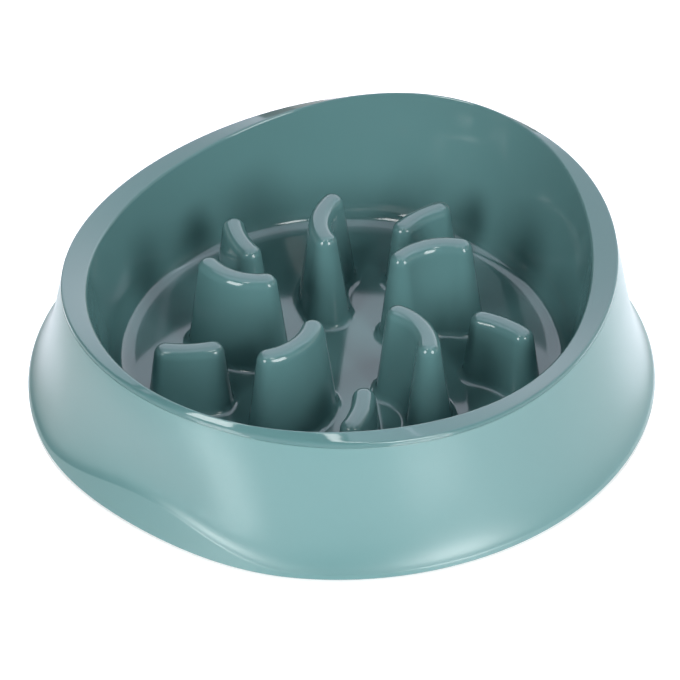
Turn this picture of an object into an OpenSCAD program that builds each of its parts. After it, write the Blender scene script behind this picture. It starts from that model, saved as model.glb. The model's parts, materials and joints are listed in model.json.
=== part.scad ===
// Slow feeder bowl: a glossy inner bowl with two rings of feeding ridges, held in a satin
// flared skirt that stands on six rubber feet.
// Millimetres, +Z up. The origin is on the bowl's axis, in the plane that it stands on.
// The front, -Y, is where the foot edge climbs in a finger lift. The back repeats it.

/* [Skirt] */
// Diameter of the foot edge
foot_dia = 260; // [220:1:320]
// Diameter of the rim's outer edge, as a mean
rim_dia = 228; // [190:1:250]
// How far the rim's outer edge swings out at its two crests and in at its two dips
rim_swell = 3.7; // [0:0.1:6]
// Height of the rim's outer edge above the table, as a mean
rim_height = 58; // [45:0.5:80]
// How far the rim's outer edge rises at its crests and falls at its dips
rim_wave = 5; // [0:0.1:8]
// Wall thickness of the skirt
skirt_wall = 2.5; // [1.5:0.1:3]
// Height of the plain band at the foot edge
band_h = 1.9; // [1.5:0.1:4]
// How much higher the band climbs at the middle of a finger lift
lift_h = 10.5; // [0:0.5:14]
// How far the foot edge is set in at the middle of a finger lift
lift_inset = 2.9; // [0:0.1:5]
// Inward lean of the band, in degrees from upright
band_lean = 23; // [5:1:30]
// Height of the foot edge above the table
foot_clear = 1; // [0.5:0.1:2]

/* [Inner bowl] */
// Diameter of the mouth at the rim's inner edge, as a mean
mouth_dia = 214; // [180:1:222]
// How far the mouth swings out at its crests and in at its dips
mouth_swell = 6.8; // [0:0.1:8]
// Height of the rim's inner edge above the table, as a mean
mouth_height = 58; // [45:0.5:80]
// How far the rim's inner edge rises at its crests and falls at its dips
mouth_wave = 7; // [0:0.1:9]
// Diameter of the floor, where the line of the wall meets it
floor_dia = 188; // [160:1:196]
// Height of the floor's top face above the table
floor_height = 8.2; // [6:0.1:14]
// Thickness of the floor and the wall
bowl_wall = 2.5; // [1.5:0.1:3]
// Radius of the round between floor and wall
floor_round = 9; // [4:0.5:14]
// Thickness of the rim's band at its outer edge
rim_t = 2; // [1.5:0.1:2.5]

/* [Inner ridges] */
// Height of the inner ridges above the floor
inner_ridge_h = 42.5; // [25:0.5:43]
// Length of an inner ridge along its top, from end to end
inner_ridge_len = 35.5; // [24:0.5:38]
// Radius of the bend of an inner ridge
inner_bend_r = 25; // [22:0.5:60]
// Distance of the inner ridges from the axis
inner_ring_r = 42; // [40:0.5:44]

/* [Outer ridges] */
// Height of the outer ridges above the floor
outer_ridge_h = 30.5; // [15:0.5:35]
// Length of an outer ridge along its top, from end to end
outer_ridge_len = 29; // [18:0.5:30]
// Radius of the bend of an outer ridge
outer_bend_r = 42; // [24:0.5:60]
// Distance of the outer ridges from the axis
outer_ring_r = 67; // [65:0.5:68]

/* [Ridge section] */
// Thickness of a ridge just below its rounded top
ridge_top_t = 9.8; // [8.6:0.1:11]
// Draft of a ridge's sides, in degrees
ridge_draft = 7; // [3:0.5:8]
// Radius of the round along a ridge's top
ridge_round = 4.2; // [2:0.1:4.2]
// Radius of the round where a ridge meets the floor
ridge_root = 3; // [1:0.1:4]

/* [Rubber feet] */
// Diameter of a foot's pad
pad_dia = 11; // [8:0.5:12]
// Thickness of a foot's pad
pad_t = 2.2; // [1.5:0.1:3]
// Diameter of a foot's stem
stem_dia = 5; // [3:0.1:7]
// Length of a foot's stem
stem_len = 6; // [3:0.1:8]
// How far the middle of a foot stands in from the foot edge
foot_inset = 13; // [12:0.5:16]

/* [Hidden] */
$fn = 48;

// Reach of a cut past the face that it opens
overrun = 1;
// Gap at the seam between the rim's band and the skirt's top edge
seam = 0.2;
// Gap around a stem in its bore
stem_clear = 0.1;
// How far the bore runs past the end of the stem
bore_end = 1;
// Wall around a foot's bore
boss_wall = 3.4;
// Thickness of the web between a boss and the skirt, and how far it runs out from the boss
web_t = 3;
web_out = 2.1;
// Skin of the skirt that stays over a boss and its web
boss_skin = 1;
// Widest part of the skirt's top edge that the rim's band covers
land_w = 1.5;
// Share of the room behind the rim that the land takes where that is narrower
land_share = 0.8;
// Round of the rim's two edges
rim_round = 1.2;
// Round of the foot band's upper edge
lip_round = 0.5;
// How far the skirt swells out below the rim, and how far down the swell is felt
swell_out = 4.1;
swell_down = 16.6;
// How far in and how far up the flare starts from the foot's upper edge
flare_in = 7.6;
flare_up = 5.9;
// How the mouth is squared between its crests and dips
mouth_square = 1.5;
// Direction of the front, and how far the crests of the rim's two edges stand round from it
front = 270;
rim_lead = -3;
mouth_lead = 9;
// Half of the angle that a finger lift takes up
lift_half = 32;
// Crests round the rim
crest_count = 2;

// Direction of the first ridge of each ring and its slant to the line from the axis
ridge_count = 5;
inner_turn = 60.5;
inner_slant = -10.5;
outer_turn = 98.3;
outer_slant = -19.5;
// How much further each inner ridge is turned round the axis, and how much more it slants
inner_turns_on = [2.5, -1.6, 0, 0, 0];
inner_slants_more = [4.5, 3.4, 0, 0, 0];
// How far each outer ridge is set in from its ring, as a share of the ring
outer_inset_shares = [0, 0.09, 0, 0, 0];
// Depth to which a ridge runs into the floor, and to which the round at its root does
ridge_sink = 1;
root_dip = 0.2;
// How far a ridge's round ends stand out from its sides, so that no two faces coincide
end_swell = 0.05;
// Wall left round the hollow under a ridge
ridge_wall = 2.5;
// Cut along the top of the hollow, as a share of the round along the ridge's top
hollow_cut_share = 0.4;

// Feet, one for each foot node, spaced evenly round the axis and clear of the lifts
foot_count = 6;

// Steps round the axis, along the skirt's curve and along each round
turn_steps = 96;
curve_steps = 10;
round_steps = 3;
fillet_steps = 4;

skirt_colour = "#84AEAF";
bowl_colour = "#5F8F90";
rubber_colour = "#33393A";

// Points of a cubic curve, without its first point
function curve(a, b, c, d, n) = [
    for (i = [1:n])
        let (s = i / n, q = 1 - s)
            q * q * q * a + 3 * q * q * s * b + 3 * q * s * s * c + s * s * s * d
];

// Points of a round from a to c that is drawn to the corner b
function bend(a, b, c, n) = [
    for (i = [0:n])
        let (s = i / n, q = 1 - s)
            q * q * a + 2 * q * s * b + s * s * c
];

function unit(v) = v / norm(v);

// Height of the wave that has its crests at the front and the back
function crest(turn, lead) = cos(crest_count * (turn - front - lead));

// Angle to the middle of the nearer finger lift
function off_lift(turn) = abs((turn - front + 450) % 180 - 90);
function lift(turn) = off_lift(turn) < lift_half ? pow(cos(90 * off_lift(turn) / lift_half), 2) : 0;

// The rim's outer and inner edges
function rim_edge(turn) = [
    rim_dia / 2 + rim_swell * crest(turn, rim_lead),
    rim_height + rim_wave * crest(turn, rim_lead)
];
function mouth_edge(turn) = [
    mouth_dia / 2 + mouth_swell * crest(turn, mouth_lead)
        + mouth_square * cos(2 * crest_count * (turn - front - mouth_lead)),
    mouth_height + mouth_wave * crest(turn, mouth_lead)
];

// The inner bowl's wall: its line inside, and the same line behind at the wall's thickness
function floor_corner() = [floor_dia / 2, floor_height];
function wall_dir(turn) = unit(mouth_edge(turn) - floor_corner());
function wall_back_r(turn, z) =
    let (d = wall_dir(turn))
        floor_dia / 2 + (z - floor_height) * d[0] / d[1] + bowl_wall / d[1];

// Height of the rim's band above a radius
function band_z(turn, r) =
    let (a = mouth_edge(turn), b = rim_edge(turn))
        a[1] + (b[1] - a[1]) * (r - a[0]) / (b[0] - a[0]);

// Width of the face on which the band rests on the skirt
function land(turn) =
    let (e = rim_edge(turn))
        min(land_w, land_share * (e[0] - wall_back_r(turn, e[1] - rim_t)));

// The foot's lower edge, the lip at the band's upper edge, and the band's face between them
function foot_edge(turn) = [foot_dia / 2 - lift_inset * lift(turn), foot_clear];
function face_r(turn, z) = foot_edge(turn)[0] - (z - foot_clear) * tan(band_lean);
function lip_edge(turn) =
    let (z = foot_clear + band_h + lift_h * lift(turn))
        [face_r(turn, z), z];

// Section of the skirt at one angle, as points of radius and height
function skirt_section(turn) =
    let (
        edge = rim_edge(turn),
        top = [edge[0], edge[1] - rim_t - seam],
        swell = top + [swell_out, -swell_down],
        lip = lip_edge(turn),
        flare = lip + [-flare_in, flare_up],
        along = unit([flare_in, -flare_up]),
        inward = skirt_wall * [along[1], -along[0]],
        face = unit(foot_edge(turn) - lip),
        back_flare = flare + inward,
        slope = flare_in / flare_up,
        corner_z = max(foot_clear + skirt_wall / 2, lip[1] + inward[1]),
        corner_r = min(
            back_flare[0] + (back_flare[1] - corner_z) * slope,
            face_r(turn, corner_z) - skirt_wall / cos(band_lean)
        ),
        corner = [corner_r, corner_z],
        back_top = top - [land(turn), 0],
        back_swell = swell - [skirt_wall, 0]
    )
    concat(
        [top],
        curve(top, swell, flare, lip - lip_round * along, curve_steps),
        [bend(lip - lip_round * along, lip, lip + lip_round * face, 2)[1], lip + lip_round * face],
        [foot_edge(turn)],
        [foot_edge(turn) - [skirt_wall / cos(band_lean), 0]],
        [corner],
        curve(corner, back_flare, back_swell, back_top, curve_steps)
    );

// Where the feet stand, and the height that clears the skirt's skin over all of them at a radius
function foot_turn(i) = 360 * i / foot_count;
function foot_ring_r() = foot_dia / 2 - foot_inset;
function under_skin(r) = min([
    for (i = [0:foot_count - 1])
        let (section = skirt_section(foot_turn(i)))
            lookup(r, [for (j = [curve_steps:-1:curve_steps / 2]) section[j]]) - boss_skin
]);

// Section of the inner bowl at one angle, from the flat of the floor over the rim and
// back under the floor
function bowl_section(turn) =
    let (
        a = mouth_edge(turn),
        b = rim_edge(turn),
        up = wall_dir(turn),
        across = unit(b - a),
        low = floor_corner(),
        under = b - [0, rim_t],
        land_in = under - [land(turn), 0],
        back_z = min(under[1], band_z(turn, wall_back_r(turn, under[1])) - rim_t),
        back_top = [wall_back_r(turn, back_z), back_z],
        back_low = [wall_back_r(turn, floor_height - bowl_wall), floor_height - bowl_wall],
        back_round = floor_round + bowl_wall / 2
    )
    concat(
        bend(low - [floor_round, 0], low, low + floor_round * up, fillet_steps),
        bend(a - rim_round * up, a, a + rim_round * across, round_steps),
        bend(b - rim_round * across, b, b - [0, rim_round], round_steps),
        [under, land_in, back_top],
        bend(back_low + back_round * up, back_low, back_low - [back_round, 0], fillet_steps)
    );

function on_turn(p, turn) = [p[0] * cos(turn), p[0] * sin(turn), p[1]];

// Faces between the sections: n points in each, m sections round the axis
function side_faces(n, m, closed) = [
    for (i = [0:m - 1], j = [0:(closed ? n : n - 1) - 1])
        let (
            k = (i + 1) % m,
            l = (j + 1) % n
        )
        each [
            [i * n + j, k * n + j, k * n + l],
            [i * n + j, k * n + l, i * n + l]
        ]
];

module outer_skirt() {
    sections = [for (i = [0:turn_steps - 1]) skirt_section(360 * i / turn_steps)];
    n = len(sections[0]);
    points = [
        for (i = [0:turn_steps - 1], p = sections[i])
            on_turn(p, 360 * i / turn_steps)
    ];
    color(skirt_colour)
        difference() {
            union() {
                polyhedron(points, side_faces(n, turn_steps, true));
                for (i = [0:foot_count - 1])
                    at_foot(i) boss();
            }
            for (i = [0:foot_count - 1])
                at_foot(i) boss_bore();
        }
}

module at_foot(i) {
    rotate([0, 0, foot_turn(i)])
        translate([foot_ring_r(), 0, pad_t])
            children();
}

// A boss that takes the stem of one foot, and the web that ties it to the skirt. Both
// rise into the skirt's wall
module boss() {
    boss_r = stem_dia / 2 + boss_wall;
    web_l = boss_r + web_out;
    cylinder(r = boss_r, h = under_skin(foot_ring_r() + boss_r) - pad_t);
    translate([0, -web_t / 2, 0])
        cube([web_l, web_t, under_skin(foot_ring_r() + web_l) - pad_t]);
}

module boss_bore() {
    translate([0, 0, -overrun])
        cylinder(r = stem_dia / 2 + stem_clear, h = overrun + stem_len + bore_end);
}

module inner_bowl() {
    sections = [for (i = [0:turn_steps - 1]) bowl_section(360 * i / turn_steps)];
    n = len(sections[0]);
    points = [
        for (i = [0:turn_steps - 1], p = sections[i])
            on_turn(p, 360 * i / turn_steps)
    ];
    floor_face = [for (i = [turn_steps - 1:-1:0]) i * n];
    base_face = [for (i = [0:turn_steps - 1]) i * n + n - 1];
    color(bowl_colour)
        difference() {
            union() {
                polyhedron(points, concat(side_faces(n, turn_steps, false), [floor_face, base_face]));
                inner_ridges() ridge(inner_ridge_len, inner_bend_r, inner_ridge_h);
                outer_ridges() ridge(outer_ridge_len, outer_bend_r, outer_ridge_h);
            }
            inner_ridges() ridge_hollow(inner_ridge_len, inner_bend_r, inner_ridge_h);
            outer_ridges() ridge_hollow(outer_ridge_len, outer_bend_r, outer_ridge_h);
        }
}

module inner_ridges() {
    for (i = [0:ridge_count - 1])
        rotate([0, 0, inner_turn + inner_turns_on[i] + 360 * i / ridge_count])
            translate([inner_ring_r, 0, floor_height])
                rotate([0, 0, inner_slant + inner_slants_more[i]])
                    children();
}

module outer_ridges() {
    for (i = [0:ridge_count - 1])
        rotate([0, 0, outer_turn + 360 * i / ridge_count])
            translate([outer_ring_r * (1 - outer_inset_shares[i]), 0, floor_height])
                rotate([0, 0, outer_slant])
                    children();
}

// Half of a ridge's section: distance from its middle line and height above the floor
function ridge_profile(h) =
    let (
        top_w = ridge_top_t / 2,
        slope = tan(ridge_draft),
        root_w = top_w + (h - ridge_round - ridge_root) * slope,
        foot_w = root_w + ridge_root * slope
    )
    concat(
        [[0, -ridge_sink], [foot_w + ridge_root, -ridge_sink]],
        bend([foot_w + ridge_root, -root_dip], [foot_w, -root_dip], [root_w, ridge_root], fillet_steps),
        bend([top_w, h - ridge_round], [top_w - ridge_round * slope, h], [top_w - ridge_round, h],
            fillet_steps),
        [[0, h]]
    );

function hollow_profile(h) =
    let (
        top_w = ridge_top_t / 2 + ridge_round * tan(ridge_draft) - ridge_wall,
        top_h = h - ridge_wall,
        cut = hollow_cut_share * ridge_round,
        drop = bowl_wall + overrun,
        foot_w = top_w + (top_h - cut + drop) * tan(ridge_draft)
    )
    [[0, -drop], [foot_w, -drop], [top_w, top_h - cut], [top_w - cut, top_h], [0, top_h]];

// A bar with the given half section along an arc, with round ends. It bows towards +Y,
// and the ends of a ridge of length l lie on the X axis
module bowed_bar(l, bend_r, profile) {
    middle_l = l - ridge_top_t;
    half_turn = asin(middle_l / 2 / bend_r);
    bow = bend_r - sqrt(bend_r * bend_r - l * l / 4);
    other_side = [for (i = [len(profile) - 2:-1:1]) [-profile[i][0], profile[i][1]]];
    end_profile = [for (p = profile) [p[0] > 0 ? p[0] + end_swell : 0, p[1]]];
    translate([0, bow - bend_r, 0]) {
        rotate([0, 0, 90 - half_turn])
            rotate_extrude(angle = 2 * half_turn)
                translate([bend_r, 0])
                    polygon(concat(profile, other_side));
        for (side = [-1, 1])
            rotate([0, 0, 90 + side * half_turn])
                translate([bend_r, 0, 0])
                    rotate_extrude()
                        polygon(end_profile);
    }
}

module ridge(l, bend_r, h) {
    bowed_bar(l, bend_r, ridge_profile(h));
}

module ridge_hollow(l, bend_r, h) {
    bowed_bar(l, bend_r, hollow_profile(h));
}

// One foot of the ring: a pad with a stem that is pushed into its boss
module rubber_foot(i) {
    color(rubber_colour)
        at_foot(i)
            translate([0, 0, -pad_t]) {
                cylinder(r = pad_dia / 2, h = pad_t);
                cylinder(r = stem_dia / 2, h = pad_t + stem_len);
            }
}

outer_skirt();
inner_bowl();
rubber_foot(0);  // rubber_foot_1
rubber_foot(1);  // rubber_foot_2
rubber_foot(2);  // rubber_foot_3
rubber_foot(3);  // rubber_foot_4
rubber_foot(4);  // rubber_foot_5
rubber_foot(5);  // rubber_foot_6
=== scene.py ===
# %% [markdown]
# # A slow feeder bowl
# The ridges on this bowl's floor make a pet lick its food out of the channels between
# them, so that it eats slowly. Two moulded pieces make the bowl: a glossy inner bowl with
# the ridges, and a satin skirt that flares out to six rubber feet.
# The lesson builds the look of each piece over a CAD frame, which says how large the bowl
# is and where each piece sits. Every length is in metres, in the frame's own axes: the
# bowl's axis is Z, the table is at z = 0, and the front is -Y.

# %% Load the frame
import json
import math

import bmesh
import bpy
from mathutils import Matrix, Vector

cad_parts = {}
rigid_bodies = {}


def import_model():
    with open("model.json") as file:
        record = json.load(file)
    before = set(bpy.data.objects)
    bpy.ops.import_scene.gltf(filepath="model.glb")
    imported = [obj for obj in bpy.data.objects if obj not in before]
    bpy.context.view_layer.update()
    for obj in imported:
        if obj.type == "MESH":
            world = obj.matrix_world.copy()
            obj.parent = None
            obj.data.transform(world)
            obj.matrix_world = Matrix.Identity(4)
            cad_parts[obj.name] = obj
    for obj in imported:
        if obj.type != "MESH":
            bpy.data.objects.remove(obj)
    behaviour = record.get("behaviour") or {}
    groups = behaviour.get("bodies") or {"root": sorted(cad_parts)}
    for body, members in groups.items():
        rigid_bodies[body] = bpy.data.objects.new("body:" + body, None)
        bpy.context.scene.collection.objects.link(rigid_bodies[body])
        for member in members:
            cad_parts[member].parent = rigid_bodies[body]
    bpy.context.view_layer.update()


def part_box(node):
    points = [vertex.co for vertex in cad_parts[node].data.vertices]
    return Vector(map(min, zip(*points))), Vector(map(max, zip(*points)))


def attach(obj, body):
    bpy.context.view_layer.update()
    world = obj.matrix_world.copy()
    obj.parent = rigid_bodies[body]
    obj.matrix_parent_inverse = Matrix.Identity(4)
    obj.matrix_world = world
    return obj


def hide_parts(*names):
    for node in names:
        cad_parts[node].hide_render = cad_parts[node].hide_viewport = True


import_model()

# %% [markdown]
# ## The shape of the rim and the foot
# Seen from the side the rim is a wave. It rises and swings out at the front and the back,
# and dips and draws in at both sides, so that a pet can reach in from the side. At the
# front and the back the foot edge climbs too, which leaves room for the fingers.
# The bowl is nearly a shape turned on a wheel, but its section changes a little as it
# goes round. A lathe can't do that, so each length that changes is written as a function
# of the turn, the angle round the axis, and the section is worked out from them.

# %% Sizes of the rim and the foot
skirt_low, skirt_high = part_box("outer_skirt")
foot_r = skirt_high.x
foot_clear = skirt_low.z
rim_r, rim_height = 0.114, 0.058
rim_swell, rim_wave = 0.0037, 0.005
mouth_r, mouth_height = 0.107, 0.058
mouth_swell, mouth_wave, mouth_square = 0.0068, 0.007, 0.0015
rim_lead, mouth_lead = math.radians(-3), math.radians(9)
front = math.radians(270)
crest_count = 2
print("foot edge: radius", round(foot_r, 4), "and", round(foot_clear, 4), "above the table")


# %% The wave of the rim
def crest(turn, lead):
    """The wave round the rim, from -1 in a dip to 1 on a crest."""
    return math.cos(crest_count * (turn - front - lead))


def rim_edge(turn):
    """The rim's outer edge, as radius and height."""
    wave = crest(turn, rim_lead)
    return Vector((rim_r + rim_swell * wave, rim_height + rim_wave * wave))


def mouth_edge(turn):
    """The rim's inner edge, which is squared a little between its crests and dips."""
    wave = crest(turn, mouth_lead)
    square = math.cos(2 * crest_count * (turn - front - mouth_lead))
    return Vector(
        (mouth_r + mouth_swell * wave + mouth_square * square, mouth_height + mouth_wave * wave)
    )


# %% The finger lifts of the foot edge
lift_half = math.radians(32)
lift_h, lift_inset = 0.0105, 0.0029
band_h, band_lean = 0.0019, math.radians(23)


def lift(turn):
    """1 in the middle of a finger lift, 0 away from it."""
    away = abs((turn - front + 2.5 * math.pi) % math.pi - math.pi / 2)
    return math.cos(math.pi / 2 * away / lift_half) ** 2 if away < lift_half else 0


def foot_edge(turn):
    return Vector((foot_r - lift_inset * lift(turn), foot_clear))


def band_face(turn, z):
    """Radius of the band's face, which leans in as it rises from the foot edge."""
    return foot_edge(turn).x - (z - foot_clear) * math.tan(band_lean)


def lip_edge(turn):
    z = foot_clear + band_h + lift_h * lift(turn)
    return Vector((band_face(turn, z), z))


print("lip height, mm:", [round(1000 * lip_edge(math.radians(t)).y, 1) for t in (0, 250, 270)])

# %% [markdown]
# ## Curves for a section
# A section is a list of points, as radius and height. Its straight stretches need only
# their ends. A swelling wall is a cubic curve with two handles, as in a drawing program,
# and a rounded edge is a short curve that is pulled towards the corner it replaces.


# %% Curves
def curve(a, b, c, d, steps):
    """Points of a cubic curve from a to d with the handles b and c, without its first."""
    shares = [step / steps for step in range(1, steps + 1)]
    return [
        (1 - s) ** 3 * a + 3 * (1 - s) ** 2 * s * b + 3 * (1 - s) * s * s * c + s**3 * d
        for s in shares
    ]


def bend(a, corner, b, steps):
    """Points of a round from a to b, drawn towards the corner between them."""
    shares = [step / steps for step in range(steps + 1)]
    return [(1 - s) ** 2 * a + 2 * (1 - s) * s * corner + s * s * b for s in shares]


def straight(a, b, steps):
    """Points along a straight line, without its two ends."""
    return [a.lerp(b, step / steps) for step in range(1, steps)]


def rounded(before, corner, after, size, steps=4):
    """The corner of an outline, rounded by the same size along both of its sides."""
    back = corner + size * (before - corner).normalized()
    on = corner + size * (after - corner).normalized()
    return bend(back, corner, on, steps)


# %% [markdown]
# ## Selecting
# Blender's modelling tools act on everything that is selected, and the CAD nodes come in
# selected. So each piece starts from an empty selection, and in edit mode the vertices
# are picked by where they are.


# %% Selecting by place
def only(piece):
    """Leaves this piece alone selected, and active."""
    bpy.ops.object.select_all(action="DESELECT")
    piece.select_set(True)
    bpy.context.view_layer.objects.active = piece


def pick(piece, wanted):
    """Selects the vertices, in edit mode, that a test says yes to."""
    bpy.ops.mesh.select_all(action="DESELECT")
    mesh = bmesh.from_edit_mesh(piece.data)
    for vert in mesh.verts:
        vert.select = wanted(vert)
    mesh.select_flush_mode()
    bmesh.update_edit_mesh(piece.data)


bpy.context.tool_settings.mesh_select_mode = (True, False, False)
bpy.ops.object.select_all(action="DESELECT")

# %% [markdown]
# ## A shell, ring by ring
# Both moulded pieces are shells whose section changes round the axis. They could be cut
# from blocks or lofted between a few curves, but the surest way is a ring of vertices that
# is extruded again and again. After each extrusion every vertex of the new ring is laid
# on the section that belongs to its own angle. The mesh then has clean, even quads, which
# take a long soft highlight without a ripple.

# %% Extruding a shell
turn_steps = 288
turn_step = 2 * math.pi / turn_steps
merge_gap = 1e-6


def lay_ring(piece, ring):
    """Moves the selected ring of vertices to its places: a radius and height for each turn."""
    mesh = bmesh.from_edit_mesh(piece.data)
    for vert in mesh.verts:
        if vert.select:
            turn = math.atan2(vert.co.y, vert.co.x)
            r, z = ring[round(turn / turn_step) % turn_steps]
            vert.co = (r * math.cos(turn), r * math.sin(turn), z)
    bmesh.update_edit_mesh(piece.data)


def shell(name, section):
    """Extrudes a circle ring by ring along a section that changes as it goes round."""
    sections = [section(turn_step * step) for step in range(turn_steps)]
    bpy.ops.object.select_all(action="DESELECT")
    bpy.ops.mesh.primitive_circle_add(vertices=turn_steps, radius=sections[0][0].x)
    piece = bpy.context.object
    piece.name = name
    bpy.ops.object.mode_set(mode="EDIT")
    for number, ring in enumerate(zip(*sections)):
        if number:
            bpy.ops.mesh.extrude_edges_move()
        lay_ring(piece, ring)
    return piece


def close_and_turn_outward():
    """Merges what coincides, and turns every face of the piece in edit mode outward."""
    bpy.ops.mesh.select_all(action="SELECT")
    bpy.ops.mesh.remove_doubles(threshold=merge_gap)
    bpy.ops.mesh.normals_make_consistent(inside=False)
    bpy.ops.object.mode_set(mode="OBJECT")


def select_open_edges():
    """Selects, in edit mode, the edges that have a face on one side only."""
    bpy.ops.mesh.select_non_manifold(
        extend=False, use_wire=False, use_multi_face=False, use_verts=False
    )


# %% [markdown]
# ## The skirt
# The skirt is the satin outside of the bowl. From the seam under the rim it swells out,
# runs down and flares to a crisp lip over a narrow band. Its wall is as thick all over,
# as a moulded wall is, so the inside of the section is the outside set in by the wall's
# thickness. It ends where it began, at the seam, so its last ring is bridged to its first.

# %% The skirt's section
skirt_wall = 0.0025
rim_t, seam = 0.002, 0.0002
swell_out, swell_down = 0.0041, 0.0166
flare_in, flare_up = 0.0076, 0.0059
lip_round, edge_round = 0.0005, 0.0004
bowl_wall, floor_r, floor_z = 0.0025, 0.094, 0.0082
land_w, land_share = 0.0015, 0.8
edge_steps, wall_steps, lip_steps, inside_steps = 4, 32, 5, 20


def wall_direction(turn):
    return (mouth_edge(turn) - Vector((floor_r, floor_z))).normalized()


def wall_back(turn, z):
    """A point on the back of the inner bowl's wall, at a height."""
    along = wall_direction(turn)
    return Vector((floor_r + (z - floor_z) * along.x / along.y + bowl_wall / along.y, z))


def land(turn):
    """Width of the face that the rim rests on."""
    under = rim_edge(turn) - Vector((0, rim_t))
    return min(land_w, land_share * (under.x - wall_back(turn, under.y).x))


def skirt_section(turn):
    top = rim_edge(turn) - Vector((0, rim_t + seam))
    swell = top + Vector((swell_out, -swell_down))
    lip = lip_edge(turn)
    flare = lip + Vector((-flare_in, flare_up))
    foot = foot_edge(turn)
    along, face = (lip - flare).normalized(), (foot - lip).normalized()
    inward = skirt_wall * Vector((along.y, -along.x))
    across = Vector((skirt_wall / math.cos(band_lean), 0))
    back_flare = flare + inward
    corner_z = max(foot_clear + skirt_wall / 2, lip.y + inward.y)
    corner_r = min(
        back_flare.x + (back_flare.y - corner_z) * flare_in / flare_up,
        band_face(turn, corner_z) - across.x,
    )
    corner = Vector((corner_r, corner_z))
    back_top, back_swell = top - Vector((land(turn), 0)), swell - Vector((skirt_wall, 0))
    edge = rounded(back_top, top, swell, min(edge_round, land(turn) / 3), edge_steps)
    above_lip, below_lip = lip - lip_round * along, lip + lip_round * face
    return [
        *edge,
        *curve(edge[-1], swell, flare, above_lip, wall_steps),
        *bend(above_lip, lip, below_lip, lip_steps)[1:],
        *rounded(lip, foot, foot - across, edge_round),
        *rounded(foot, foot - across, corner, edge_round),
        corner,
        *curve(corner, back_flare, back_swell, back_top, inside_steps),
    ]


# %% Extrude the skirt and close it
skirt = shell("skirt_shell", skirt_section)
select_open_edges()
bpy.ops.mesh.bridge_edge_loops()
close_and_turn_outward()
print("skirt:", len(skirt.data.vertices), "vertices,", len(skirt.data.polygons), "faces")

# %% [markdown]
# ## The bosses under the skirt
# Each rubber foot is pushed into a boss, a short round post with a hole, which a web ties
# to the skirt's wall. Nobody sees them until the bowl is turned over, but without them the
# feet would float. One boss is modelled and copied to six places round the axis, and a
# Boolean joins them to the wall and drills their holes, which leaves a single clean shell.

# %% Sizes of the feet and their bosses
foot_count = 6
pad_low, pad_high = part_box("rubber_foot_1")
foot_ring_r = (pad_low.x + pad_high.x) / 2
pad_r = (pad_high.x - pad_low.x) / 2
pad_t, stem_r, stem_top = 0.0022, 0.0025, pad_high.z
stem_clear, bore_end = 0.0001, 0.001
boss_wall, rod_steps, bevel_steps = 0.0034, 64, 3
boss_r = stem_r + boss_wall
web_t, web_out, boss_skin = 0.003, 0.0021, 0.001
print("feet: ring radius", round(foot_ring_r, 4), "pad radius", round(pad_r, 4))


def under_skin(r):
    """The height at a radius that stays under the skirt's skin over every foot."""
    heights = []
    for number in range(foot_count):
        section = skirt_section(2 * math.pi * number / foot_count)
        wall = section[edge_steps : edge_steps + wall_steps + 1]
        heights += [p.y for p, q in zip(wall, wall[1:]) if p.x <= r < q.x]
    return min(heights) - boss_skin


# %% One boss with its web, and the drill for its hole
def rod(name, radius, low, high):
    """A round bar at the place of the first foot, with sharp edges at its ends."""
    bpy.ops.object.select_all(action="DESELECT")
    middle = Vector((foot_ring_r, 0, (low + high) / 2))
    bpy.ops.mesh.primitive_cylinder_add(
        vertices=rod_steps, radius=radius, depth=high - low, location=middle
    )
    piece = bpy.context.object
    piece.name = name
    bpy.ops.object.transform_apply()
    return piece


def round_low_end(piece):
    """Rounds the edges at the lower end of a boss or a web."""
    only(piece)
    bpy.ops.object.mode_set(mode="EDIT")
    pick(piece, lambda vert: vert.co.z < pad_t + edge_round)
    bpy.ops.mesh.bevel(offset=edge_round, segments=bevel_steps)
    bpy.ops.object.mode_set(mode="OBJECT")


boss_top, web_top = under_skin(foot_ring_r + boss_r), under_skin(foot_ring_r + boss_r + web_out)
boss = rod("boss", boss_r, pad_t, boss_top)
round_low_end(boss)

web_l = boss_r + web_out
bpy.ops.object.select_all(action="DESELECT")
bpy.ops.mesh.primitive_cube_add(size=1)
web = bpy.context.object
web.scale = (web_l, web_t, web_top - pad_t)
web.location = (foot_ring_r + web_l / 2, 0, (pad_t + web_top) / 2)
bpy.ops.object.transform_apply()
round_low_end(web)

drill = rod("drill", stem_r + stem_clear, 0, stem_top + bore_end)
print("boss height, mm:", round(1000 * (boss_top - pad_t), 1))


# %% Copying round the axis, joining and cutting
def copy_at(piece, place):
    """A copy of a piece with its own mesh, put at a place."""
    copy = piece.copy()
    copy.data = piece.data.copy()
    copy.data.transform(place)
    return copy


def copies(piece, places):
    """Copies of a piece at these places, in a group of their own. The piece itself goes."""
    group = bpy.data.collections.new(piece.name + "_copies")
    for place in places:
        group.objects.link(copy_at(piece, place))
    bpy.data.objects.remove(piece)
    return group


def combine(piece, group, operation):
    """Joins a group of pieces to a piece, or cuts them from it, and then removes the group."""
    only(piece)
    faces_before = len(piece.data.polygons)
    boolean = piece.modifiers.new(operation.lower(), "BOOLEAN")
    boolean.operation, boolean.solver = operation, "MANIFOLD"
    boolean.operand_type, boolean.collection = "COLLECTION", group
    bpy.ops.object.modifier_apply(modifier=boolean.name)
    if len(piece.data.polygons) == faces_before:
        raise RuntimeError(f"{operation} with {group.name} left {piece.name} as it was")
    for used in list(group.objects):
        bpy.data.objects.remove(used)
    bpy.data.collections.remove(group)


foot_places = [
    Matrix.Rotation(2 * math.pi * number / foot_count, 4, "Z") for number in range(foot_count)
]
for post in (boss, web):
    combine(skirt, copies(post, foot_places), "UNION")
combine(skirt, copies(drill, foot_places), "DIFFERENCE")
print("skirt with bosses:", len(skirt.data.polygons), "faces")

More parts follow.
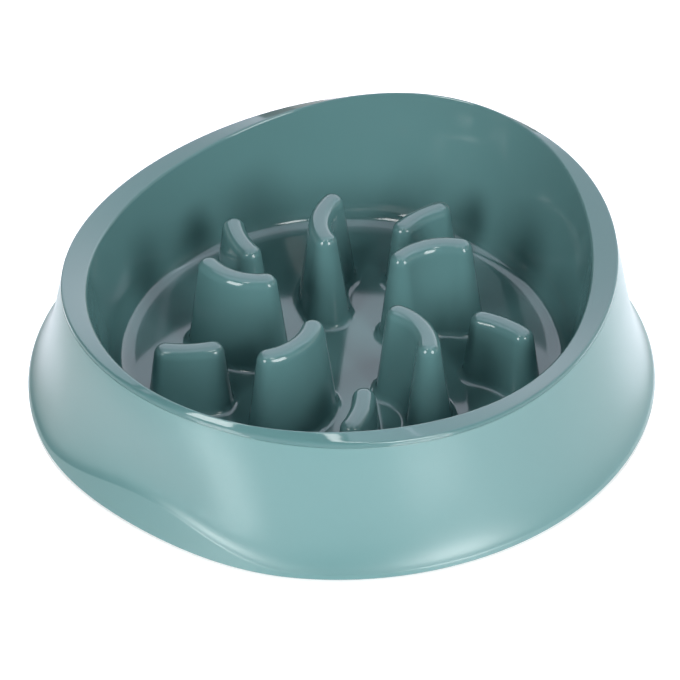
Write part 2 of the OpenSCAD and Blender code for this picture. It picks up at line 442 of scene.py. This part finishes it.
# %% [markdown]
# ## The inner bowl
# The inner bowl has a flat floor, a round, a straight wall that leans out to the mouth,
# and a rim that is turned over as a narrow band and rests on the skirt. It is extruded as
# the skirt was, from the edge of the flat floor up the wall, over the rim and back down
# behind. The floor and its underside are flat, so each needs only one face.

# %% The inner bowl's section
floor_round, rim_round = 0.009, 0.0012
floor_steps, rim_steps, back_round_steps = 12, 7, 8
slope_steps, face_steps, back_steps = 8, 3, 6


def bowl_section(turn):
    mouth, rim = mouth_edge(turn), rim_edge(turn)
    low = Vector((floor_r, floor_z))
    up, across = wall_direction(turn), (rim - mouth).normalized()
    floor_start, floor_end = low - Vector((floor_round, 0)), low + floor_round * up
    floor_bend = bend(floor_start, low, floor_end, floor_steps)
    mouth_bend = bend(mouth - rim_round * up, mouth, mouth + rim_round * across, rim_steps)
    rim_bend = bend(rim - rim_round * across, rim, rim - Vector((0, rim_round)), rim_steps)
    under = rim - Vector((0, rim_t))
    slope = across.y / across.x
    below_rim = mouth.y + slope * (wall_back(turn, under.y).x - mouth.x) - rim_t
    back_low = wall_back(turn, floor_z - bowl_wall)
    back_round = floor_round + bowl_wall / 2
    back_start, back_end = back_low + back_round * up, back_low - Vector((back_round, 0))
    back_bend = bend(back_start, back_low, back_end, back_round_steps)
    back_top = wall_back(turn, min(under.y, below_rim))
    return [
        *floor_bend,
        *straight(floor_bend[-1], mouth_bend[0], slope_steps),
        *mouth_bend,
        *straight(mouth_bend[-1], rim_bend[0], face_steps),
        *rim_bend,
        under,
        under - Vector((land(turn), 0)),
        back_top,
        *straight(back_top, back_bend[0], back_steps),
        *back_bend,
    ]


# %% Extrude the inner bowl and close its floor
dish = shell("dish", bowl_section)
for height in (floor_z, floor_z - bowl_wall):
    pick(dish, lambda vert: abs(vert.co.z - height) < merge_gap and vert.is_boundary)
    bpy.ops.mesh.edge_face_add()
close_and_turn_outward()
print("inner bowl:", len(dish.data.vertices), "vertices,", len(dish.data.polygons), "faces")

# %% [markdown]
# ## The ridges
# The ridges stand in two rings of five, a tall ring and a lower one outside it. Each is a
# bar that bows to one side, with round ends, sides that lean in so that it leaves its
# mould, a rounded top and a soft fillet at its root. It is hollow from below, because a
# thick lump of plastic would shrink and pull a dimple into the floor.
# A ridge could be swept along a curve, but spinning keeps its section exact: the section
# is spun about the middle of the bow for the bar, and half of it about each end for the
# round ends. One ridge of each ring is made, copied five times and joined to the floor.
# The tops are nearly half round, so that a tongue meets no edge.

# %% Sizes of the ridges
ridge_count = 5
ridge_top_t, ridge_draft, ridge_round = 0.0098, math.radians(7), 0.0042
ridge_root, ridge_sink, root_dip = 0.003, 0.001, 0.00002
ridge_wall, hollow_cut_share, overrun = 0.0025, 0.4, 0.001
top_steps, side_steps, root_steps = 14, 4, 10
inner_ridge = {"h": 0.0425, "length": 0.0355, "bend_r": 0.025}
outer_ridge = {"h": 0.0305, "length": 0.029, "bend_r": 0.042}
draft = math.tan(ridge_draft)


def ridge_profile(h):
    """Half of a ridge's section, from the middle of its top down to its root."""
    top_w = ridge_top_t / 2
    root_w = top_w + (h - ridge_round - ridge_root) * draft
    foot_w = root_w + ridge_root * draft
    top = bend(
        Vector((top_w - ridge_round, h)),
        Vector((top_w - ridge_round * draft, h)),
        Vector((top_w, h - ridge_round)),
        top_steps,
    )
    root = bend(
        Vector((root_w, ridge_root)),
        Vector((foot_w, -root_dip)),
        Vector((foot_w + ridge_root, -root_dip)),
        root_steps,
    )
    sunk = Vector((foot_w + ridge_root, -ridge_sink))
    return [Vector((0, h)), *top, *straight(top[-1], root[0], side_steps), *root, sunk]


def hollow_profile(h):
    """Half of the section of the hollow under a ridge, from its top down."""
    top_w = ridge_top_t / 2 + ridge_round * draft - ridge_wall
    low = -bowl_wall - overrun
    foot_w = top_w + (h - ridge_wall - low) * draft
    top, low = Vector((top_w, h - ridge_wall)), Vector((foot_w, low))
    middle = Vector((0, top.y))
    return [middle, *rounded(middle, top, low, hollow_cut_share * ridge_round), low]


# %% Drawing a line of vertices, and spinning it
arc_steps, end_steps = 24, 20
seed_size = 0.001


def empty_piece(name):
    """A new piece in edit mode, with nothing in it yet."""
    bpy.ops.object.select_all(action="DESELECT")
    bpy.ops.mesh.primitive_plane_add(size=seed_size)
    piece = bpy.context.object
    piece.name = name
    bpy.ops.object.mode_set(mode="EDIT")
    bpy.ops.mesh.delete(type="VERT")
    return piece


def draw(points):
    """Draws a line in edit mode: a plane is merged to one vertex and extruded to each point."""
    bpy.ops.mesh.primitive_plane_add(size=seed_size)
    bpy.ops.mesh.merge(type="CENTER")
    bpy.ops.transform.translate(value=points[0])
    for here, there in zip(points, points[1:]):
        bpy.ops.mesh.extrude_vertices_move(TRANSFORM_OT_translate={"value": there - here})
    bpy.ops.mesh.select_linked()


def bowed_bar(name, length, bend_r, profile):
    """A bar with this half section along an arc that bows to +Y, with round ends."""
    half_turn = math.asin((length - ridge_top_t) / 2 / bend_r)
    bow = bend_r - math.sqrt(bend_r**2 - length**2 / 4)
    middle = Vector((0, bow - bend_r, 0))
    whole = [Vector((-p.x, p.y)) for p in reversed(profile[1:])] + profile
    piece = empty_piece(name)
    for side in (-1, 1):
        turn = math.pi / 2 + side * half_turn
        outward = Vector((math.cos(turn), math.sin(turn), 0))
        end = middle + bend_r * outward
        draw([end + p.x * outward + Vector((0, 0, p.y)) for p in profile])
        bpy.ops.mesh.spin(steps=end_steps, angle=-side * math.pi, center=end, axis=(0, 0, 1))
    draw([end + p.x * outward + Vector((0, 0, p.y)) for p in whole])
    bpy.ops.mesh.spin(steps=arc_steps, angle=2 * half_turn, center=middle, axis=(0, 0, 1))
    bpy.ops.mesh.select_all(action="SELECT")
    bpy.ops.mesh.remove_doubles(threshold=merge_gap)
    select_open_edges()
    bpy.ops.mesh.edge_face_add()
    close_and_turn_outward()
    return piece


# %% Where the ridges stand
def about_axis(degrees):
    return Matrix.Rotation(math.radians(degrees), 4, "Z")


def ridge_places(ring_r, first_turn, slant, changes):
    """The places of a ring's ridges: round the axis, out to the ring, and slanted.

    A change gives a ridge's further turn and slant in degrees, and the share of the ring's
    radius by which it is set in.
    """
    return [
        about_axis(first_turn + turn_on + 360 * number / ridge_count)
        @ Matrix.Translation((ring_r * (1 - inset_share), 0, floor_z))
        @ about_axis(slant + slant_more)
        for number, (turn_on, slant_more, inset_share) in enumerate(changes)
    ]


in_line, set_in = (0, 0, 0), (0, 0, 0.09)
inner_changes = ((2.5, 4.5, 0), (-1.6, 3.4, 0), in_line, in_line, in_line)
outer_changes = (in_line, set_in, in_line, in_line, in_line)
inner_places = ridge_places(0.042, 60.5, -10.5, inner_changes)
outer_places = ridge_places(0.067, 98.3, -19.5, outer_changes)

# %% Join the ridges to the floor, and hollow them from below
ridge_rings = ((inner_ridge, inner_places), (outer_ridge, outer_places))
forms = (("ridge", ridge_profile, "UNION"), ("hollow", hollow_profile, "DIFFERENCE"))
for name, profile, operation in forms:
    for sizes, places in ridge_rings:
        bar = bowed_bar(name, sizes["length"], sizes["bend_r"], profile(sizes["h"]))
        combine(dish, copies(bar, places), operation)
print("inner bowl with ridges:", len(dish.data.polygons), "faces")

# %% [markdown]
# ## The rubber feet
# A foot is a soft pad with a stem. Its edges are round, because rubber can't be moulded
# sharp, a shallow cup underneath makes it grip the table, and the stem's tip is tapered so
# that it finds its hole. It is turned on a lathe: its outline is drawn and spun once round.

# %% Turn one foot and copy it
pad_round, cup_r, cup_deep, tip = 0.0006, 0.0034, 0.0004, 0.0008
cup_flat, cup_full = 0.5, 0.8
cup_steps, pad_steps, lathe_steps = 5, 6, 48


def foot_outline():
    pad_edge, pad_top = Vector((pad_r, 0)), Vector((pad_r, pad_t))
    stem_foot, stem_end = Vector((stem_r, pad_t)), Vector((stem_r, stem_top))
    cup_edge, axis_top = Vector((cup_r, 0)), Vector((0, stem_top))
    cup_start, cup_corner = (Vector((cup_r * share, cup_deep)) for share in (cup_flat, cup_full))
    return [
        Vector((0, cup_deep)),
        *bend(cup_start, cup_corner, cup_edge, cup_steps),
        *rounded(cup_edge, pad_edge, pad_top, pad_round, pad_steps),
        *rounded(pad_edge, pad_top, stem_foot, pad_round, pad_steps),
        *rounded(pad_top, stem_foot, stem_end, pad_round / 2),
        stem_end - Vector((0, 2 * tip)),
        stem_end - Vector((tip, 0)),
        axis_top,
    ]


foot_pattern = empty_piece("foot_pattern")
draw([Vector((foot_ring_r + p.x, 0, p.y)) for p in foot_outline()])
foot_axis = (foot_ring_r, 0, 0)
bpy.ops.mesh.spin(steps=lathe_steps, angle=2 * math.pi, center=foot_axis, axis=(0, 0, 1))
close_and_turn_outward()

feet = []
for number, place in enumerate(foot_places):
    foot = copy_at(foot_pattern, place)
    foot.name = f"foot_{number + 1}"
    bpy.context.scene.collection.objects.link(foot)
    feet.append(foot)
bpy.data.objects.remove(foot_pattern)
print("feet:", len(feet), "with", len(feet[0].data.polygons), "faces each")

# %% [markdown]
# ## Smooth shading
# A moulded surface is smooth, but its crisp edges aren't. Faces that meet at a small angle
# are shaded as one surface and the others keep their edge. Large flat faces beside small
# curved ones would look dented, so each vertex takes its normal mostly from its larger
# faces, which the Weighted Normal modifier works out.

# %% Shade every piece
crease = math.radians(38)
for piece in (skirt, dish, *feet):
    only(piece)
    bpy.ops.object.shade_smooth_by_angle(angle=crease)
    weighted = piece.modifiers.new("flat_faces_stay_flat", "WEIGHTED_NORMAL")
    weighted.keep_sharp = True
    bpy.ops.object.modifier_apply(modifier=weighted.name)
print("shaded pieces:", 2 + len(feet))

# %% [markdown]
# ## Moulded plastic
# No plastic is one flat colour. The pigment is stirred in and clouds a little, the mould's
# polish is slightly uneven, and a fine grain or the faint swell that is called orange peel
# breaks up the reflections. Both plastics have these at different strengths, so they come
# from one node group with a value for each, placed in both materials.


# %% A node group for moulded plastic
cloud_size, polish_size, bump_height = 0.045, 0.02, 1e-5


def add(nodes, kind, **values):
    """Adds a node, and sets its inputs and properties by name."""
    node = nodes.new(kind)
    for name, value in values.items():
        name = name.replace("_", " ")
        if name in node.inputs:
            node.inputs[name].default_value = value
        else:
            setattr(node, name.replace(" ", "_"), value)
    return node


def moulded_plastic_group():
    group = bpy.data.node_groups.new("moulded_plastic", "ShaderNodeTree")
    sockets = group.interface
    for name, kind, value in (
        ("Colour", "NodeSocketColor", (0.5, 0.5, 0.5, 1)),
        ("Clouding", "NodeSocketFloat", 0.05),
        ("Polish", "NodeSocketFloat", 0.3),
        ("Polish change", "NodeSocketFloat", 0.05),
        ("Grain size", "NodeSocketFloat", 0.0005),
        ("Grain", "NodeSocketFloat", 0.3),
        ("Peel size", "NodeSocketFloat", 0.006),
        ("Peel", "NodeSocketFloat", 0.3),
    ):
        socket = sockets.new_socket(name, in_out="INPUT", socket_type=kind)
        socket.default_value = value
    sockets.new_socket("Colour", in_out="OUTPUT", socket_type="NodeSocketColor")
    sockets.new_socket("Roughness", in_out="OUTPUT", socket_type="NodeSocketFloat")
    sockets.new_socket("Height", in_out="OUTPUT", socket_type="NodeSocketFloat")
    nodes, links = group.nodes, group.links
    entry, leave = nodes.new("NodeGroupInput"), nodes.new("NodeGroupOutput")
    place = nodes.new("ShaderNodeTexCoord")

    def noise(size, detail):
        """A noise whose lumps are as large as a value in metres, or as a socket says."""
        texture = add(nodes, "ShaderNodeTexNoise", Detail=detail, Roughness=0.5)
        links.new(place.outputs["Object"], texture.inputs["Vector"])
        scale = add(nodes, "ShaderNodeMath", operation="DIVIDE")
        scale.inputs[0].default_value = 1
        if isinstance(size, str):
            links.new(entry.outputs[size], scale.inputs[1])
        else:
            scale.inputs[1].default_value = size
        links.new(scale.outputs[0], texture.inputs["Scale"])
        return texture.outputs["Fac"]

    def change(value, strength, middle=None):
        """Noise about zero, times a strength, added to a middle value."""
        shift = add(nodes, "ShaderNodeMath", operation="SUBTRACT")
        links.new(value, shift.inputs[0])
        shift.inputs[1].default_value = 0.5
        scaled = add(nodes, "ShaderNodeMath", operation="MULTIPLY")
        links.new(shift.outputs[0], scaled.inputs[0])
        links.new(entry.outputs[strength], scaled.inputs[1])
        total = add(nodes, "ShaderNodeMath", operation="ADD")
        links.new(scaled.outputs[0], total.inputs[0])
        if middle is None:
            total.inputs[1].default_value = 1
        else:
            links.new(middle, total.inputs[1])
        return total.outputs[0]

    clouds = change(noise(cloud_size, 3), "Clouding")
    tint = add(nodes, "ShaderNodeVectorMath", operation="SCALE")
    links.new(entry.outputs["Colour"], tint.inputs[0])
    links.new(clouds, tint.inputs["Scale"])
    links.new(tint.outputs[0], leave.inputs["Colour"])
    polish = change(noise(polish_size, 4), "Polish change", entry.outputs["Polish"])
    links.new(polish, leave.inputs["Roughness"])
    grain = change(noise("Grain size", 2), "Grain")
    peel = change(noise("Peel size", 1), "Peel", grain)
    links.new(peel, leave.inputs["Height"])
    return group


moulded_plastic = moulded_plastic_group()
print("moulded plastic:", len(moulded_plastic.nodes), "nodes")

# %% [markdown]
# ## The two plastics
# Both pieces are the same family of blue-green, and the skirt's is a little lighter. The
# skirt's mould was textured to a satin, which spreads the studio's lamps into broad soft
# bands. The plastic's own gloss is too weak for such bands, so a clear satin coat adds a
# second one. The inner bowl's mould was polished, because a smooth face washes clean, and
# it mirrors the lamps sharply, with no coat.


# %% Plastics for the skirt and the inner bowl
def plastic(name, colour, coat, coat_roughness, **values):
    material = bpy.data.materials.new(name)
    material.use_nodes = True
    nodes, links = material.node_tree.nodes, material.node_tree.links
    shader = nodes["Principled BSDF"]
    effect = nodes.new("ShaderNodeGroup")
    effect.node_tree = moulded_plastic
    shader.inputs["Coat Weight"].default_value = coat
    shader.inputs["Coat Roughness"].default_value = coat_roughness
    effect.inputs["Colour"].default_value = (*colour, 1)
    for label, value in values.items():
        effect.inputs[label.replace("_", " ")].default_value = value
    bump = add(nodes, "ShaderNodeBump", Strength=1.0, Distance=bump_height)
    links.new(effect.outputs["Colour"], shader.inputs["Base Color"])
    links.new(effect.outputs["Roughness"], shader.inputs["Roughness"])
    links.new(effect.outputs["Height"], bump.inputs["Height"])
    links.new(bump.outputs["Normal"], shader.inputs["Normal"])
    return material


satin_plastic = plastic(
    "satin_plastic",
    (0.128, 0.276, 0.283),
    coat=1.0,
    coat_roughness=0.4,
    Clouding=0.05,
    Polish=0.37,
    Polish_change=0.05,
    Grain_size=0.0006,
    Grain=0.6,
    Peel_size=0.008,
    Peel=0.5,
)
polished_plastic = plastic(
    "polished_plastic",
    (0.1, 0.217, 0.223),
    coat=0.0,
    coat_roughness=0.03,
    Clouding=0.05,
    Polish=0.085,
    Polish_change=0.03,
    Grain_size=0.001,
    Grain=0.05,
    Peel_size=0.009,
    Peel=0.8,
)
print("plastics:", satin_plastic.name, "and", polished_plastic.name)

# %% [markdown]
# ## Rubber
# Rubber is nearly black, dull and a little dusty. One noise lightens and dulls it in
# specks, as dust does, and a finer one makes its surface uneven.


# %% Rubber for the feet
dust_scale, grain_scale, grain_height = 900, 3500, 5e-5


def rubber():
    material = bpy.data.materials.new("dull_rubber")
    material.use_nodes = True
    nodes, links = material.node_tree.nodes, material.node_tree.links
    shader = nodes["Principled BSDF"]
    place = nodes.new("ShaderNodeTexCoord")
    dust = add(nodes, "ShaderNodeTexNoise", Scale=dust_scale, Detail=5)
    grain = add(nodes, "ShaderNodeTexNoise", Scale=grain_scale, Detail=2)
    tone = nodes.new("ShaderNodeValToRGB")
    bare, dusty = tone.color_ramp.elements
    bare.position, bare.color = 0.45, (0.022, 0.027, 0.03, 1)
    dusty.position, dusty.color = 0.75, (0.07, 0.075, 0.075, 1)
    rough = add(nodes, "ShaderNodeMapRange", To_Min=0.6, To_Max=0.9)
    bump = add(nodes, "ShaderNodeBump", Strength=0.6, Distance=grain_height)
    for texture in (dust, grain):
        links.new(place.outputs["Object"], texture.inputs["Vector"])
    links.new(dust.outputs["Fac"], tone.inputs["Fac"])
    links.new(tone.outputs["Color"], shader.inputs["Base Color"])
    links.new(dust.outputs["Fac"], rough.inputs["Value"])
    links.new(rough.outputs["Result"], shader.inputs["Roughness"])
    links.new(grain.outputs["Fac"], bump.inputs["Height"])
    links.new(bump.outputs["Normal"], shader.inputs["Normal"])
    return material


dull_rubber = rubber()
print("rubber:", dull_rubber.name)


# %% Give each piece its material and its place in the frame, and hide the CAD node it replaces
def dress(piece, material, node):
    piece.data.materials.clear()
    piece.data.materials.append(material)
    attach(piece, "root")
    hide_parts(node)


dress(skirt, satin_plastic, "outer_skirt")
dress(dish, polished_plastic, "inner_bowl")
for number, foot in enumerate(feet):
    dress(foot, dull_rubber, f"rubber_foot_{number + 1}")
print("dressed:", ", ".join(piece.name for piece in (skirt, dish, *feet)))

# %% [markdown]
# ## The table
# The bowl stands on a plain table of glossy white acrylic, which takes its shadow and
# mirrors the lamps up into the skirt. The camera, and whatever mirrors the table, sees a
# little plain white added to it, so that it reads as a white background without more
# light spread over the bowl.


# %% The table and its white
table_r, table_steps = 4, 128
added_white = 0.5


def white_table():
    material = bpy.data.materials.new("table_white")
    material.use_nodes = True
    nodes, links = material.node_tree.nodes, material.node_tree.links
    acrylic = nodes["Principled BSDF"]
    acrylic.inputs["Base Color"].default_value = (0.85, 0.85, 0.86, 1)
    acrylic.inputs["Roughness"].default_value = 0.06
    acrylic.inputs["IOR"].default_value = 2.4
    acrylic.inputs["Specular IOR Level"].default_value = 1.0
    path = nodes.new("ShaderNodeLightPath")
    seen = path.outputs["Is Camera Ray"]
    for kind in ("Is Glossy Ray", "Is Transmission Ray"):
        either = add(nodes, "ShaderNodeMath", operation="MAXIMUM")
        links.new(seen, either.inputs[0])
        links.new(path.outputs[kind], either.inputs[1])
        seen = either.outputs[0]
    strength = add(nodes, "ShaderNodeMath", operation="MULTIPLY")
    strength.inputs[1].default_value = added_white
    glow = nodes.new("ShaderNodeEmission")
    both = nodes.new("ShaderNodeAddShader")
    links.new(seen, strength.inputs[0])
    links.new(strength.outputs[0], glow.inputs["Strength"])
    links.new(acrylic.outputs[0], both.inputs[0])
    links.new(glow.outputs[0], both.inputs[1])
    links.new(both.outputs[0], nodes["Material Output"].inputs["Surface"])
    return material


bpy.ops.object.select_all(action="DESELECT")
bpy.ops.mesh.primitive_circle_add(vertices=table_steps, radius=table_r, fill_type="NGON")
table = bpy.context.object
table.name = "table"
table.data.materials.append(white_table())
print("table:", 2 * table_r, "m across")

# %% [markdown]
# ## The camera
# The picture is taken from well back with a long lens, which keeps the bowl's ellipses
# nearly true, at about forty degrees above the table and forty degrees round from the
# front. The lens is given in pixels of a picture 680 wide, because the bowl was measured
# in such a picture.

# %% Set up the camera
picture_px, lens_px, px_per_metre = 680, 6000, 2412
view_turn, view_rise, view_roll = math.radians(40.1), math.radians(39.07), math.radians(-0.8)
origin_right_px, origin_down_px, aim_z = 1.58, 32.95, 0.001

camera_data = bpy.data.cameras.new("camera")
camera_data.sensor_fit = "HORIZONTAL"
camera_data.lens = camera_data.sensor_width * lens_px / picture_px
camera = bpy.data.objects.new("camera", camera_data)
bpy.context.scene.collection.objects.link(camera)
bpy.context.scene.camera = camera

look = (
    Matrix.Rotation(view_turn, 3, "Z")
    @ Matrix.Rotation(math.pi / 2 - view_rise, 3, "X")
    @ Matrix.Rotation(view_roll, 3, "Z")
)
back_off = lens_px / px_per_metre
offset = Vector((-origin_right_px / lens_px, origin_down_px / lens_px, 1)) * back_off
camera.matrix_world = Matrix.Translation(look @ offset + Vector((0, 0, aim_z))) @ look.to_4x4()
print("camera stands", round(back_off, 2), "m away")

# %% [markdown]
# ## Studio light
# Two tall strip lights stand low, left and right of the camera. The glossy table mirrors
# them up into the satin skirt, where they draw its broad bright bands. Two small lamps
# above them make the twin glints on every ridge. A wide panel hangs behind the bowl and
# another one above it, for the floor, the rim and the ridges' tops to mirror. They light
# nothing in any other way, or the plastic would look pale. The room is white low down,
# dark at the ceiling, and brightest behind the bowl on the right.

# %% Lamps
centre = Vector((0, 0, 0.03))
lamp_distance = 1.6
back_tint, top_tint = (0.79, 0.86, 1), (0.8, 0.86, 1)


def panel(name, turn, rise, width, height, radiance, tint=(1, 1, 1)):
    """A flat rectangular lamp, at a turn from the camera's side and a rise above the table."""
    lamp = bpy.data.lights.new(name, "AREA")
    lamp.shape, lamp.size, lamp.size_y = "RECTANGLE", width, height
    lamp.energy, lamp.color = radiance * math.pi * width * height, tint
    turn, rise = front + view_turn + math.radians(turn), math.radians(rise)
    across = math.cos(rise)
    away = Vector((math.cos(turn) * across, math.sin(turn) * across, math.sin(rise)))
    facing = away.to_track_quat("Z", "Y").to_matrix().to_4x4()
    spot = bpy.data.objects.new(name, lamp)
    spot.matrix_world = Matrix.Translation(centre + lamp_distance * away) @ facing
    bpy.context.scene.collection.objects.link(spot)
    return spot


panel("left_strip", -43, 26, 0.56, 0.88, 10)
panel("right_strip", 38, 26, 0.56, 0.88, 10.5)
panel("left_glint", -38, 64, 0.22, 0.28, 10)
panel("right_glint", 36, 64, 0.22, 0.28, 10)
back_panel = panel("back_panel", 168, 40, 2.9, 1.5, 2.6, back_tint)
top_panel = panel("top_panel", 180, 84, 2.3, 1.0, 2.4, top_tint)
back_panel.visible_diffuse = top_panel.visible_diffuse = False
print("lamps:", ", ".join(lamp.name for lamp in bpy.data.lights))


# %% The room
white_below, dark_above = 0.25, 0.8
wall_white, ceiling_dark = (1, 1, 1, 1), (0.08, 0.08, 0.09, 1)
bright_turn = front + view_turn + math.radians(125)
dim_side, full_from = 0.1, 0.8


def room():
    world = bpy.data.worlds.new("room")
    world.use_nodes = True
    nodes, links = world.node_tree.nodes, world.node_tree.links
    way = nodes.new("ShaderNodeTexCoord")
    split = nodes.new("ShaderNodeSeparateXYZ")
    by_height = nodes.new("ShaderNodeValToRGB")
    low, high = by_height.color_ramp.elements
    low.position, low.color = white_below, wall_white
    high.position, high.color = dark_above, ceiling_dark
    side = add(nodes, "ShaderNodeVectorMath", operation="DOT_PRODUCT")
    side.inputs[1].default_value = (math.cos(bright_turn), math.sin(bright_turn), 0)
    by_side = add(
        nodes, "ShaderNodeMapRange", From_Min=0, From_Max=full_from, To_Min=dim_side, To_Max=1
    )
    links.new(way.outputs["Generated"], split.inputs[0])
    links.new(split.outputs["Z"], by_height.inputs["Fac"])
    links.new(way.outputs["Generated"], side.inputs[0])
    links.new(side.outputs["Value"], by_side.inputs["Value"])
    links.new(by_height.outputs["Color"], nodes["Background"].inputs["Color"])
    links.new(by_side.outputs["Result"], nodes["Background"].inputs["Strength"])
    bpy.context.scene.world = world


room()
bpy.context.scene.view_settings.view_transform = "Standard"
print("room:", bpy.context.scene.world.name)
